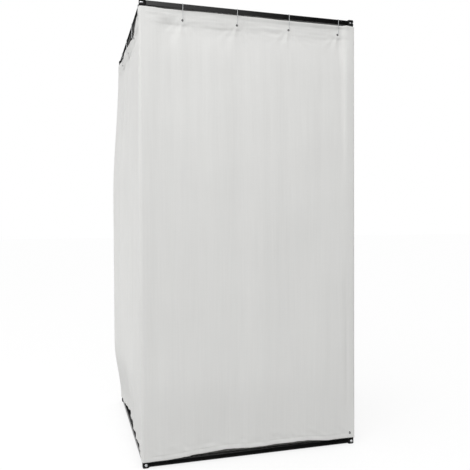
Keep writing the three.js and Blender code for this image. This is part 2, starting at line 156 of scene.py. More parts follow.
# How finely the cloth is divided: in a square round each eyelet, round a corner and along a side; and up
# the cloth, below and above two heights and between them
EYELET_SQUARE = 10
EYELET_STEP = 2.2
CORNER_STEP = 2
SIDE_STEP = 7.5
FINE_BELOW = 110
FINE_ABOVE = 1860
FINE_ROW = 5
ROW = 15

# The cloth's uneven folds: depth, width along the side, height, and what sets each kind's pattern apart
WIDE_FLUTES = (3.2, 95, 1500, 0)
NARROW_FLUTES = (1.6, 42, 900, 5)
HEADING_PUCKERS = (0.7, 14, 40, 9)
HEADING_RIPPLES = (1.6, 70, 16, 13)
HEM_WRINKLES = (1.9, 26, 34, 21)
HEM_PUCKERS = (0.8, 9, 22, 25)
BROAD_FOLDS = (2.2, 210, 240, 29)

# The four sides, and how the cloth hangs on each, from the left as seen from outside. Hooks are shares of
# the side. The belly is how far the cloth stands out low down at the left end, the middle and the right
# end, and the fold is its depth between two hooks. Sags and set-backs of the top edge and rises of the
# hem are given at equal steps. A hem that tucks in hangs back over the bottom rail as far as it rises.
# The curl is how far the top edge leans forwards under the rail, at the left and the right end. The
# heading is how deep it draws in over its lower stitches, as shares at equal steps, and the flutes are
# how strong the soft upright folds are.
SLACK_SAGS = (4, 7, 12, 6, 13, 7, 13, 6, 4)
SLACK_RISES = (0, 6, 11, 14, 14, 14, 11, 6, 0)
SIDES = [
    {"name": "front", "corner": "front_right", "turn": 0, "bolt_turn": 0, "seed": 3.1,
     "hooks": (0.187, 0.432, 0.677, 0.922), "belly": (6, 8, 0), "fold": 5,
     "sags": (4, 4.5, 0.5, 0, 2, 4, 4, 4, 4), "set_backs": (16, 16),
     "rises": (0, 1.5, 12, 18, 12.5, 15.5, 15.5, 5, 4.5), "tucks_in": False, "curl": (1, 7),
     "heading": (0, 0.1, 1.6, 0.5, 0.8, 1.0, 1.2, 0.4, 0.6, 0.5, 0.5, 0.3, 0.5, 0.5, 0.4, 0.8, 0.4),
     "flutes": 1},
    {"name": "right", "corner": "back_right", "turn": QUARTER, "bolt_turn": QUARTER, "seed": 17.7,
     "hooks": (0.09, 0.35, 0.61, 0.87), "belly": (0, 0, 36), "fold": 12,
     "sags": SLACK_SAGS, "set_backs": (16, 16), "rises": SLACK_RISES, "tucks_in": False, "curl": (3, 3),
     "heading": (0.4, 1.1, 0.6, 1.3, 0.5, 0.9, 0.4, 1.2, 0.5), "flutes": 1.6},
    {"name": "back", "corner": "back_left", "turn": math.pi, "bolt_turn": 0, "seed": 31.3,
     "hooks": (0.13, 0.39, 0.65, 0.91), "belly": (14, 0, 14), "fold": 12,
     "sags": SLACK_SAGS, "set_backs": (16, 16), "rises": SLACK_RISES, "tucks_in": False, "curl": (3, 3),
     "heading": (0.5, 0.8, 1.2, 0.5, 1.0, 0.4, 1.3, 0.7, 0.5), "flutes": 1.6},
    {"name": "left", "corner": "front_left", "turn": -QUARTER, "bolt_turn": QUARTER, "seed": 47.9,
     "hooks": (0.19, 0.437, 0.684, 0.931), "belly": (36, 0, 6), "fold": 12,
     "sags": (4, 5, 5, 3, 10, 24, 4, 2, 4), "set_backs": (10, 10, 10, 12, 16, 18, 14, 10, 10),
     "rises": (0, 5, 11.5, 20, 14, 9.5, 10, 7, 0), "tucks_in": True, "curl": (0, 0),
     "heading": (0.5, 0.6, 1.3, 0.6, 1.1, 0.5, 0.9, 1.2, 0.3), "flutes": 2.4},
]
for side in SIDES:
    side["places"] = [(share - 0.5) * FRAME_SIDE for share in side["hooks"]]


# Materials
def linear(hex_code):
    """An sRGB hex colour as linear values with full opacity."""
    channels = [int(hex_code[i:i + 2], 16) / 255 for i in (1, 3, 5)]
    return (*[c / 12.92 if c <= 0.04045 else ((c + 0.055) / 1.055) ** 2.4 for c in channels], 1)


def add(tree, kind, links=None, **settings):
    """Adds a node with its settings. Each link gives a socket a value, or joins it to another socket."""
    made = tree.nodes.new(kind)
    for name, value in settings.items():
        setattr(made, name, value)
    for name, value in (links or {}).items():
        if isinstance(value, bpy.types.NodeSocket):
            tree.links.new(value, made.inputs[name])
        else:
            made.inputs[name].default_value = value
    return made


def new_material(name):
    """A material, its node tree and the output, which is the only node in it."""
    material = bpy.data.materials.new(name)
    material.use_nodes = True
    tree = material.node_tree
    tree.nodes.clear()
    return material, tree, add(tree, "ShaderNodeOutputMaterial")


def grain(tree, coordinates, size_mm, stretch=(1, 1, 1), **links):
    """Noise whose grains are about a size in millimetres, stretched along the axes."""
    mapped = add(tree, "ShaderNodeMapping", {"Vector": coordinates, "Scale": stretch})
    return add(tree, "ShaderNodeTexNoise",
               {"Vector": mapped.outputs["Vector"], "Scale": 1 / (size_mm * MM), **links})


def hard_finish(name, colours, roughness, metallic, grain_mm, bump_mm, specular=0.5, stretch=(1, 1, 1),
                patch_mm=60):
    """A paint, moulding or metal: two near colours in soft patches, a fine relief and uneven gloss."""
    material, tree, output = new_material(name)
    place = add(tree, "ShaderNodeTexCoord").outputs["Object"]
    fine = grain(tree, place, grain_mm, stretch, Detail=3.0)
    patches = grain(tree, place, patch_mm, Detail=4.0, Roughness=0.6)
    tint = add(tree, "ShaderNodeValToRGB", {"Fac": patches.outputs["Fac"]})
    for number, position in enumerate((0.35, 0.65)):
        tint.color_ramp.elements[number].position = position
        tint.color_ramp.elements[number].color = linear(colours[number])
    mixed = add(tree, "ShaderNodeMath", {0: patches.outputs["Fac"], 1: fine.outputs["Fac"]},
                operation="ADD")
    gloss = add(tree, "ShaderNodeMapRange",
                {"Value": mixed.outputs[0], "From Min": 0.6, "From Max": 1.4,
                 "To Min": roughness[0], "To Max": roughness[1]})
    relief = add(tree, "ShaderNodeBump",
                 {"Height": fine.outputs["Fac"], "Distance": bump_mm * MM, "Strength": 0.6})
    shader = add(tree, "ShaderNodeBsdfPrincipled",
                 {"Base Color": tint.outputs["Color"], "Roughness": gloss.outputs["Result"],
                  "Metallic": metallic, "Specular IOR Level": specular,
                  "Normal": relief.outputs["Normal"]})
    tree.links.new(shader.outputs["BSDF"], output.inputs["Surface"])
    return material


# Satin black powder coat on steel tube: a slight orange peel of about a millimetre breaks its highlights.
powder_coat = hard_finish("satin_black_powder_coat", ("#050505", "#090909"), (0.24, 0.34), 0, 1.1, 0.04)
# Injection-moulded black nylon: a fine spark-eroded grain makes it duller than the painted tube.
moulded_nylon = hard_finish("moulded_black_nylon", ("#040404", "#080808"), (0.5, 0.62), 0, 0.6, 0.04,
                            specular=0.25)
# Bright zinc plate on a stamped steel plate: cool grey with faint cloudy patches.
zinc_plate = hard_finish("bright_zinc_plate", ("#c3c5c8", "#dcdde0"), (0.2, 0.34), 1, 0.8, 0.02,
                         patch_mm=6)
# Drawn steel spring wire, zinc-plated: fine lines along the wire and a soft, broken highlight.
drawn_wire = hard_finish("zinc_plated_spring_wire", ("#b9bbbd", "#cccecf"), (0.36, 0.5), 0.6, 0.5, 0.02,
                         stretch=(1, 1, 0.12), patch_mm=8)
# Black nickel on pressed brass: near black, with the sharp small highlight of a plated metal.
black_nickel = hard_finish("black_nickel_plated_brass", ("#080809", "#101011"), (0.24, 0.38), 1, 0.5,
                           0.015, patch_mm=4)
# Polished chrome on the bolt heads: the brightest spot on the frame.
chrome_plate = hard_finish("polished_chrome_plate", ("#e9eaec", "#f6f7f8"), (0.05, 0.1), 1, 0.4, 0.005,
                           patch_mm=5)
# Polyester sewing thread: the cloth's own white, with a soft lustre.
sewing_thread = hard_finish("polyester_sewing_thread", ("#e2e1dd", "#eceae6"), (0.55, 0.7), 0, 0.3, 0.03,
                            patch_mm=3)


def woven_polyester():
    """Plain-woven white polyester. Its threads are 0.45 mm apart, too fine to show here, so the weave is
    drawn at 1.5 mm. Its slubs, runs of thicker thread, are drawn wider than a thread too: faint streaks
    8 mm wide and 27 cm long up the cloth, and weaker ones, 6 mm wide and 6 cm long, across it."""
    thread_mm = 1.5
    material, tree, output = new_material("woven_white_polyester")
    place = add(tree, "ShaderNodeUVMap", uv_map="cloth").outputs["UV"]
    waves = []
    for direction in ("X", "Y"):
        waves.append(add(tree, "ShaderNodeTexWave",
                         {"Vector": place, "Scale": 1 / (thread_mm * MM) / math.pi, "Distortion": 0.4,
                          "Detail": 1.0},
                         bands_direction=direction))
    weave = add(tree, "ShaderNodeMath", {0: waves[0].outputs["Fac"], 1: waves[1].outputs["Fac"]},
                operation="MAXIMUM")
    warp_slubs = grain(tree, place, 8, (1, 0.03, 1), Detail=1.0)
    weft_slubs = grain(tree, place, 6, (0.1, 1, 1), Detail=1.0)
    patches = grain(tree, place, 260, Detail=3.0)
    slubs = add(tree, "ShaderNodeMath",
                {0: weft_slubs.outputs["Fac"], 1: 0.3, 2: warp_slubs.outputs["Fac"]},
                operation="MULTIPLY_ADD")
    streaks = add(tree, "ShaderNodeMath", {0: slubs.outputs[0], 1: patches.outputs["Fac"]},
                  operation="ADD")
    shade = add(tree, "ShaderNodeMapRange",
                {"Value": streaks.outputs[0], "From Min": 0.45, "From Max": 1.85})
    tint = add(tree, "ShaderNodeValToRGB", {"Fac": shade.outputs["Result"]})
    tint.color_ramp.elements[0].color = linear("#e6e6e4")
    tint.color_ramp.elements[1].color = linear("#eeeeec")
    slub_relief = add(tree, "ShaderNodeBump",
                      {"Height": slubs.outputs[0], "Distance": 0.12 * MM, "Strength": 0.4})
    relief = add(tree, "ShaderNodeBump",
                 {"Height": weave.outputs[0], "Distance": 0.1 * MM, "Strength": 0.14,
                  "Normal": slub_relief.outputs["Normal"]})
    shader = add(tree, "ShaderNodeBsdfPrincipled",
                 {"Base Color": tint.outputs["Color"], "Roughness": 0.86, "Specular IOR Level": 0.25,
                  "Sheen Weight": 0.12, "Sheen Roughness": 0.5, "Normal": relief.outputs["Normal"]})
    tree.links.new(shader.outputs["BSDF"], output.inputs["Surface"])
    return material


polyester = woven_polyester()


# Finishing a piece
def finish_piece(name, bm, material, side, body, replaces=(), smooth_angle=35):
    """Puts a mesh made in a side's own frame where that side stands, in metres, on its body."""
    stands = Matrix.Rotation(side["turn"], 4, "Z") @ Matrix.Scale(MM, 4)
    bmesh.ops.transform(bm, matrix=stands, verts=bm.verts)
    mesh = bpy.data.meshes.new(name)
    bm.to_mesh(mesh)
    bm.free()
    mesh.materials.append(material)
    obj = bpy.data.objects.new(name, mesh)
    bpy.context.scene.collection.objects.link(obj)
    for polygon in mesh.polygons:
        polygon.use_smooth = True
    if smooth_angle < 180:
        mesh.set_sharp_from_angle(angle=math.radians(smooth_angle))
    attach(obj, body)
    if replaces:
        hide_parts(*replaces)
    return obj


def close_up(bm, merge=0.001):
    """Merges doubles and points the faces outwards."""
    bmesh.ops.remove_doubles(bm, verts=bm.verts, dist=merge)
    bmesh.ops.recalc_face_normals(bm, faces=bm.faces)


def cap(bm):
    """Closes the open ends of a mesh."""
    bmesh.ops.holes_fill(bm, edges=[e for e in bm.edges if e.is_boundary], sides=0)


def extruded(bm, faces):
    """Pulls faces out of the shape they are on, and gives the new faces and their corners."""
    made = bmesh.ops.extrude_face_region(bm, geom=faces)["geom"]
    bmesh.ops.delete(bm, geom=faces, context="FACES_ONLY")
    return ([e for e in made if isinstance(e, bmesh.types.BMFace)],
            [e for e in made if isinstance(e, bmesh.types.BMVert)])


# Connectors, plates and bolts
def square_face(bm, side, rounding, steps):
    """A square face with rounded corners."""
    bmesh.ops.create_grid(bm, x_segments=1, y_segments=1, size=side / 2)
    corners = list(bm.verts)
    bmesh.ops.bevel(bm, geom=corners, offset=rounding, offset_type="OFFSET", segments=steps, profile=0.5,
                    affect="VERTICES", material=-1)
    return list(bm.faces)


def layered(bm, faces, layers, half):
    """Builds up from faces in layers, each a height and how far its outline is drawn in."""
    z, drawn_in = layers[0]
    verts = {v for f in faces for v in f.verts}
    for v in verts:
        v.co.z = z
        v.co.xy *= (half - drawn_in) / half
    last = drawn_in
    for z, drawn_in in layers[1:]:
        faces, verts = extruded(bm, faces)
        for v in verts:
            v.co.z = z
            v.co.xy *= (half - drawn_in) / (half - last)
        last = drawn_in


def gather(bm, other):
    """Adds another mesh to a mesh."""
    held = bpy.data.meshes.new("held")
    other.to_mesh(held)
    other.free()
    bm.from_mesh(held)
    bpy.data.meshes.remove(held)


def plugs(bm, post_direction):
    """The three plugs that go into the rails and the post, out of sight in their tubes."""
    root = CONNECTOR_SIDE / 2
    layers = [(root - 1, 0), (root + PLUG_REACH - 1, 0), (root + PLUG_REACH, PLUG_LEAD_IN)]
    for turn in (Matrix.Rotation(-QUARTER, 4, "Y"), Matrix.Rotation(-QUARTER, 4, "X"),
                 Matrix.Rotation(0 if post_direction > 0 else math.pi, 4, "X")):
        plug = bmesh.new()
        layered(plug, square_face(plug, PLUG_SIDE, PLUG_ROUNDING, 3), layers, PLUG_SIDE / 2)
        cap(plug)
        bmesh.ops.recalc_face_normals(plug, faces=plug.faces)
        bmesh.ops.transform(plug, matrix=turn, verts=plug.verts)
        gather(bm, plug)


def slot_faces(bm):
    """The flat faces of a top connector's lower lobe that look into the slot."""
    return [f for f in bm.faces
            if f.calc_center_median().z > -SLOT_HALF - 0.1 and abs(f.normal.z) > 0.9]


def connector(side, top):
    """A moulded corner block. The top ones are two rounded lobes with a slot between for the plate."""
    bm = bmesh.new()
    half = CONNECTOR_SIDE / 2
    faces = square_face(bm, CONNECTOR_SIDE, CONNECTOR_ROUNDING, 6)
    layers = [(z - half, inset) for z, inset in LOBE_EDGE]
    if top:
        layers += [(z - SLOT_HALF, inset) for z, inset in LOBE_RIM]
        layered(bm, faces, layers, half)
        deep = half - SLOT_DEPTH
        for normal, point in (((1, 0, 0), (deep, 0, 0)), ((0, 1, 0), (0, -deep, 0))):
            flat = slot_faces(bm)
            around = [e for f in flat for e in f.edges] + [v for f in flat for v in f.verts]
            bmesh.ops.bisect_plane(bm, geom=list(dict.fromkeys(flat + around)), plane_co=point,
                                   plane_no=normal, dist=0.0001)
        wall = [f for f in slot_faces(bm)
                if f.calc_center_median().x < deep or f.calc_center_median().y > -deep]
        wall, verts = extruded(bm, wall)
        for v in verts:
            v.co.z = 0
        bmesh.ops.delete(bm, geom=wall, context="FACES_ONLY")
        bmesh.ops.mirror(bm, geom=list(bm.verts) + list(bm.edges) + list(bm.faces), axis="Z",
                         merge_dist=0.001)
    else:
        layers += [(half - z, inset) for z, inset in reversed(LOBE_EDGE)]
        layered(bm, faces, layers, half)
        cap(bm)
    close_up(bm)
    plugs(bm, -1 if top else 1)
    z = FRAME_HEIGHT - half if top else half
    bmesh.ops.translate(bm, vec=(REACH - half, half - REACH, z), verts=bm.verts)
    name = f"connector_{'top' if top else 'bottom'}_{side['corner']}"
    return finish_piece(f"moulded_{name}", bm, moulded_nylon, side, "frame", [name], 40)


def corner_plate(side):
    """The zinc-plated strip that shows in a top connector's slot, its edges broken."""
    bm = bmesh.new()
    faces = square_face(bm, PLATE_SIDE, PLATE_ROUNDING, 8)
    lower = [(-z, drawn_in) for z, drawn_in in PLATE_EDGE]
    layered(bm, faces, lower + PLATE_EDGE[::-1], PLATE_SIDE / 2)
    cap(bm)
    close_up(bm)
    half = CONNECTOR_SIDE / 2
    middle = half - PLATE_SET_BACK - PLATE_SIDE / 2
    place = (REACH - half + middle, half - REACH - middle, FRAME_HEIGHT - half)
    bmesh.ops.translate(bm, vec=place, verts=bm.verts)
    name = f"corner_plate_{side['corner']}"
    return finish_piece(f"zinc_{name}", bm, zinc_plate, side, "frame", [name])


def bolt(side):
    """A dome-headed bolt with a hexagon socket, in the outer face of a bottom connector."""
    bm = bmesh.new()
    loop = bmesh.ops.create_circle(bm, segments=48, radius=1, cap_ends=True)["verts"]
    for number, (radius, z) in enumerate(BOLT_SOCKET + BOLT_HEAD + BOLT_SHANK):
        if number:
            edges = dict.fromkeys(e for v in loop for e in v.link_edges if e.is_boundary)
            made = bmesh.ops.extrude_edge_only(bm, edges=list(edges))["geom"]
            loop = [e for e in made if isinstance(e, bmesh.types.BMVert)]
        for v in loop:
            angle = math.atan2(v.co.y, v.co.x)
            from_flat = (angle + math.pi / 6) % (math.pi / 3) - math.pi / 6
            out = radius / math.cos(from_flat) if number < len(BOLT_SOCKET) else radius
            v.co = Vector((out * math.cos(angle), out * math.sin(angle), z))
    cap(bm)
    close_up(bm)
    half = CONNECTOR_SIDE / 2
    place = (Matrix.Translation((REACH - half, half - REACH, half))
             @ Matrix.Rotation(side["bolt_turn"], 4, "Z")
             @ Matrix.Translation((0, -half - BOLT_GAP, 0)) @ Matrix.Rotation(QUARTER, 4, "X"))
    bmesh.ops.transform(bm, matrix=place, verts=bm.verts)
    name = f"bolt_{side['corner']}"
    return finish_piece(f"domed_{name}", bm, chrome_plate, side, "frame", [name], 30)


# Cloth
def smooth_step(share):
    """A share held between 0 and 1, and eased at both."""
    held = min(max(share, 0), 1)
    return held * held * (3 - 2 * held)


def lerp(a, b, share):
    """A value a share of the way from one to another."""
    return a + (b - a) * share


def soft(value, width):
    """A soft hump, 1 at nought and near 0 beyond twice its width."""
    return math.exp(-(value / width) ** 2)


def uneven(side, kind, u, level):
    """How far one kind of uneven fold stands out at a place."""
    depth, width, height, number = kind
    return depth * noise.noise(Vector((u / width, level / height, side["seed"] + number)))


def flat_places(side):
    """Where the cloth is kept flat along a side: round the hooks' eyelets and the one at the hem."""
    return side["places"] + ([HEM_EYELET_PLACE] if side["name"] == "front" else [])


def flat_heights(side):
    """The heights at which it is kept flat."""
    return [EYELET_HEIGHT] + ([HEM_EYELET_HEIGHT] if side["name"] == "front" else [])


def eyelets_of(side):
    """The middles of a side's eyelets."""
    found = [(u, EYELET_HEIGHT) for u in side["places"]]
    if side["name"] == "front":
        found.append((HEM_EYELET_PLACE, HEM_EYELET_HEIGHT))
    return found


def settled(value, middles):
    """The middle of the flat patch that a value is in, or the value itself, eased at the patch's edge."""
    for middle in middles:
        away = abs(value - middle)
        if away < 2 * FLAT_ROUND_EYELET:
            return lerp(middle, value, smooth_step((away - FLAT_ROUND_EYELET) / FLAT_ROUND_EYELET))
    return value


def between_hooks(side, u):
    """From 0 at each hook to 1 halfway between two hooks, and 0 past the last ones."""
    first, last = side["places"][0], side["places"][-1]
    if u <= first or u >= last:
        return 0
    step = (last - first) / (len(side["places"]) - 1)
    return (1 - math.cos((u - first) / step * math.tau)) / 2


def away_from_corners(side, u):
    """From 0 in front of the posts to 1 over the stretch that hangs on the hooks."""
    end = REACH - CONNECTOR_SIDE
    first = side["places"][0] - FLAT_ROUND_EYELET
    last = side["places"][-1] + FLAT_ROUND_EYELET
    if u < first:
        return smooth_step((u + end) / (first + end))
    if u > last:
        return smooth_step((end - u) / (end - last))
    return 1


def at_place(values, u):
    """A value at a place along a side, between those given at equal steps."""
    steps = len(values) - 1
    along = min(max(u / FRAME_SIDE + 0.5, 0), 1) * steps
    step = min(int(along), steps - 1)
    return lerp(values[step], values[step + 1], smooth_step(along - step))


def nearest_eyelet(side, u, level):
    """How far a place is from the middle of the nearest eyelet."""
    return min(math.hypot(u - x, level - z) for x, z in eyelets_of(side))


def heading_folds(side, u, down):
    """The heading, at a depth under the top edge: it leans forwards at the edge, draws in a little under
    its upper stitches, and draws in most over its lower ones, which sag between the hooks."""
    curl = lerp(*side["curl"], smooth_step(u / FRAME_SIDE + 0.5)) * smooth_step(1 - down / 24)
    upper = 0.9 * smooth_step((down - UPPER_STITCHES - 1) / 8) * soft(down - 40, 22)
    deepest = LOWER_STITCHES + 2.4 + 3.2 * between_hooks(side, u)
    shape = min(max(1 + (down - deepest) / 40, 0), 1) ** 2 * soft(max(down - deepest, 0), 90)
    return curl - upper - 7 * at_place(side["heading"], u) * shape


def pulls(side, u, level):
    """The creases that fan out below the hooks' eyelets."""
    below = EYELET_HEIGHT - level
    if below <= 0:
        return 0
    total = 0
    for place in side["places"]:
        slant = (u - place) / (below + 18)
        total += 1.8 * soft(below - 30, 60) * math.sin(slant * 9 + side["seed"]) * soft(slant, 0.9)
    return total


def hem_folds(side, u, level):
    """The line that the hem's stitches draw in, and the slanting wrinkles and small puckers over it."""
    over_hem = level - HEM_HEIGHT
    _, width, _, _ = HEM_WRINKLES
    slanted = u + level * width / 60
    return (uneven(side, HEM_WRINKLES, slanted, level) * soft(over_hem - 34, 34)
            + uneven(side, HEM_PUCKERS, u, level) * soft(over_hem - 20, 14)
            - 0.8 * soft(over_hem - HEM_STITCHES, 3.5))


def free_edge_curl(side, u, level):
    """How far the front stretch's free edge curls in, above its low end."""
    if side["name"] != "front":
        return 0
    near_edge = max(0, 1 - (FREE_EDGE - u) / FREE_EDGE_CURL_WIDTH)
    return FREE_EDGE_CURL * near_edge ** 2 * smooth_step((level - 80) / 140)


def creases(side, u, level):
    """How far the small folds stand out from the broad shape: soft flutes, the drawn-in and puckered
    heading, creases that run from the eyelets, the wrinkles over the hem and the free edge's curl."""
    down = CURTAIN_TOP - level
    flutes = uneven(side, WIDE_FLUTES, u, level) + uneven(side, NARROW_FLUTES, u, level)
    puckers = uneven(side, HEADING_PUCKERS, u, level) * (
        soft(down - UPPER_STITCHES, 9) + soft(down - LOWER_STITCHES, 9))
    ripples = uneven(side, HEADING_RIPPLES, u, level) * soft(down - 60, 48)
    total = (side["flutes"] * flutes * smooth_step(down / 140) + heading_folds(side, u, down) + puckers
             + ripples + pulls(side, u, level) + hem_folds(side, u, level)
             + uneven(side, BROAD_FOLDS, u, level))
    inside_ends = smooth_step((u + SEAM) / 60) * smooth_step((FREE_EDGE - u) / 60)
    clear = smooth_step((nearest_eyelet(side, u, level) - CREASES_START) / (CREASES_FULL - CREASES_START))
    return total * inside_ends * clear - free_edge_curl(side, u, level)


def stand_off(side, u, level):
    """How far the cloth's middle stands outside the frame, before its creases."""
    place = settled(u, flat_places(side))
    height = settled(level, flat_heights(side))
    up = min(max((height - HEM_HEIGHT) / (CURTAIN_TOP - HEM_HEIGHT), 0), 1)
    hung = away_from_corners(side, place)
    straight = lerp(LOW_STAND_OFF, HIGH_STAND_OFF, up)
    tuck = at_place(side["rises"], place) if side["tucks_in"] else 0
    set_back = lerp(tuck, hung * at_place(side["set_backs"], place), up)
    left, middle, right = side["belly"]
    belly = lerp(left, right, smooth_step(place / FRAME_SIDE + 0.5)) + middle * hung
    fold = side["fold"] * between_hooks(side, place) * lerp(1, 0.2, up)
    slack = belly * smooth_step((1 - up) / 0.4) + fold
    return straight - set_back + slack * smooth_step(up / 0.17)


def cloth_height(side, u, level):
    """The cloth's height at a place, with the sag of its top edge and the rise of its hem."""
    place = settled(u, flat_places(side))
    over_eyelets = EYELET_HEIGHT + FLAT_ROUND_EYELET
    near_top = smooth_step((level - over_eyelets) / (CURTAIN_TOP - over_eyelets))
    up = (level - HEM_HEIGHT) / (CURTAIN_TOP - HEM_HEIGHT)
    near_hem = min(max(1 - up / 0.2, 0), 1)
    wavy = 1.4 * noise.noise(Vector((place / 38, 0, side["seed"] + 33)))
    rise = at_place(side["rises"], place) + wavy * away_from_corners(side, place)
    return level - at_place(side["sags"], place) * near_top + rise * near_hem


def cloth_point(side, s, level, inward):
    """A point of the cloth in the side's frame. Past the side's end, s runs on round the corner."""
    following = SIDES[(SIDES.index(side) + 1) % len(SIDES)]
    on_side = side["name"] == "front" or s <= SEAM
    u, angle = (s, 0) if on_side else (SEAM, min((s - SEAM) / CORNER_ARC, QUARTER))
    here = stand_off(side, u, level) + creases(side, u, level)
    there = stand_off(following, -SEAM, level)
    out = lerp(here, there, smooth_step(angle / QUARTER)) + CLOTH_THICKNESS - inward
    radius = CORNER_RADIUS + out
    return Vector((u + radius * math.sin(angle), CORNER_RADIUS - REACH - radius * math.cos(angle),
                   cloth_height(side, u, level)))


def divided(values, step):
    """Values from the first to the last, each stretch between them divided into steps of about a size."""
    made = [values[0]]
    for start, end in zip(values, values[1:]):
        count = max(1, round(abs(end - start) / step(0.5 * (start + end))))
        made += [lerp(start, end, (i + 1) / count) for i in range(count)]
    return made


def turned_back(edge, depth, places):
    """The fold at an edge and the stretch turned back behind the cloth: places, and how far round."""
    fold = [(edge, math.pi * i / 4) for i in range(1, 4)]
    back = sorted((p for p in places if abs(p - edge) < depth - 0.5), key=lambda p: abs(p - edge))
    inner_edge = edge + (depth if places[0] > edge - 1 else -depth)
    return fold + [(p, math.pi) for p in back] + [(inner_edge, math.pi)]


def both_sides(value, away):
    """Two values, as far below and above one."""
    return {value - away, value + away}


def cloth_columns(side):
    """Places along a side, each with how far round a turned edge it is."""
    start = RIGHT_EDGE if side["name"] == "right" else -SEAM
    end = FREE_EDGE if side["name"] == "front" else SEAM + CORNER_ARC * QUARTER
    marks = {start, end}
    for place in flat_places(side):
        marks |= both_sides(place, EYELET_SQUARE)
    if side["name"] == "front":
        marks |= both_sides(end - EDGE_STITCHES, BESIDE_STITCHES)

    def step(middle):
        if min(abs(middle - place) for place in flat_places(side)) < EYELET_SQUARE - 1:
            return EYELET_STEP
        return CORNER_STEP if middle > SEAM and end > REACH else SIDE_STEP

    main = [(s, 0) for s in divided(sorted(marks), step)]
    if side["name"] == "front":
        main += turned_back(end, FREE_EDGE_DEPTH, [s for s, _ in main])
    if side["name"] == "right":
        main = turned_back(start, FREE_EDGE_DEPTH, [s for s, _ in main])[::-1] + main
    return main


def cloth_rows(side):
    """Levels up the cloth, each with how far round the hem or the heading it is."""
    marks = {HEM_HEIGHT, FINE_BELOW, FINE_ABOVE, CURTAIN_TOP}
    for line in (HEM_HEIGHT + HEM_STITCHES, CURTAIN_TOP - LOWER_STITCHES, CURTAIN_TOP - UPPER_STITCHES):
        marks |= both_sides(line, BESIDE_STITCHES)
    for height in flat_heights(side):
        marks |= both_sides(height, EYELET_SQUARE)

    def step(middle):
        if min(abs(middle - height) for height in flat_heights(side)) < EYELET_SQUARE - 1:
            return EYELET_STEP
        return FINE_ROW if middle < FINE_BELOW or middle > FINE_ABOVE else ROW

    levels = divided(sorted(marks), step)
    heading = [(CURTAIN_TOP, math.pi * i / 4) for i in range(1, 4)]
    heading += [(z, math.pi) for z in reversed(levels) if z > CURTAIN_TOP - HEADING_DEPTH + 0.5]
    hem = [(HEM_HEIGHT, -math.pi * i / 4) for i in range(1, 4)]
    hem += [(z, -math.pi) for z in levels if z < HEM_HEIGHT + HEM_DEPTH + 0.5]
    return hem[::-1] + [(z, 0) for z in levels] + heading


def run_along(stations, radius):
    """The running length of flat cloth at each station, through its folds."""
    made = [0]
    for (a, turn_a), (b, turn_b) in zip(stations, stations[1:]):
        made.append(made[-1] + abs(b - a) + radius * abs(turn_b - turn_a))
    return made


def cut_eyelet_holes(bm, side, station):
    """Takes out the cloth inside each eyelet, and moves the stations on the hole's rim to a circle."""
    for x, z in eyelets_of(side):
        inside = []
        for face in bm.faces:
            s = sum(station[v][0] for v in face.verts) / len(face.verts)
            level = sum(station[v][2] for v in face.verts) / len(face.verts)
            if math.hypot(s - x, level - z) < CLOTH_HOLE + 0.9:
                inside.append(face)
        rim = {v for face in inside for v in face.verts}
        bmesh.ops.delete(bm, geom=inside, context="FACES")
        for v in rim:
            if v.is_valid:
                s, level = station[v][0] - x, station[v][2] - z
                scale = CLOTH_HOLE / max(math.hypot(s, level), 0.1)
                station[v][0], station[v][2] = x + s * scale, z + level * scale


def curtain(side):
    """A stretch of the curtain, with its heading, hem and turned edge folded back and its holes cut."""
    columns, rows = cloth_columns(side), cloth_rows(side)
    across, along = run_along(columns, FOLD_GAP), run_along(rows, FOLD_GAP / 2)
    bm = bmesh.new()
    bmesh.ops.create_grid(bm, x_segments=len(columns) - 1, y_segments=len(rows) - 1, size=1)
    station = {}
    for v in bm.verts:
        column = round((v.co.x + 1) / 2 * (len(columns) - 1))
        row = round((v.co.y + 1) / 2 * (len(rows) - 1))
        station[v] = [*columns[column], *rows[row]]
        v.co = Vector((across[column] * MM, along[row] * MM, 0))
    flat = bm.loops.layers.uv.new("cloth")
    for face in bm.faces:
        for loop in face.loops:
            loop[flat].uv = loop.vert.co.xy
    cut_eyelet_holes(bm, side, station)
    middle = 1.5 * FOLD_GAP
    for v in bm.verts:
        s, turned, level, folded = station[v]
        row_inward = FOLD_GAP / 2 * (1 - math.cos(folded))
        row_slip = FOLD_GAP / 2 * math.sin(folded)
        inward = middle - (middle - row_inward) * math.cos(turned)
        slip = (middle - row_inward) * math.sin(turned) * (1 if s > 0 else -1)
        v.co = cloth_point(side, s, level, inward) + Vector((slip, 0, row_slip))
    width = (across[-1] - across[0]) * MM
    length = (along[-1] - along[0]) * MM
    name = f"curtain_{side['name']}"
    obj = finish_piece(f"woven_{name}", bm, polyester, side, "frame", [name], 180)
    thick = obj.modifiers.new("cloth thickness", "SOLIDIFY")
    thick.thickness = CLOTH_THICKNESS * MM
    thick.offset = 0
    thin = obj.data
    thickened = obj.evaluated_get(bpy.context.evaluated_depsgraph_get())
    obj.data = bpy.data.meshes.new_from_object(thickened)
    obj.modifiers.clear()
    bpy.data.meshes.remove(thin)
    obj.data.set_sharp_from_angle(angle=math.radians(60))
    return obj, (width, length)


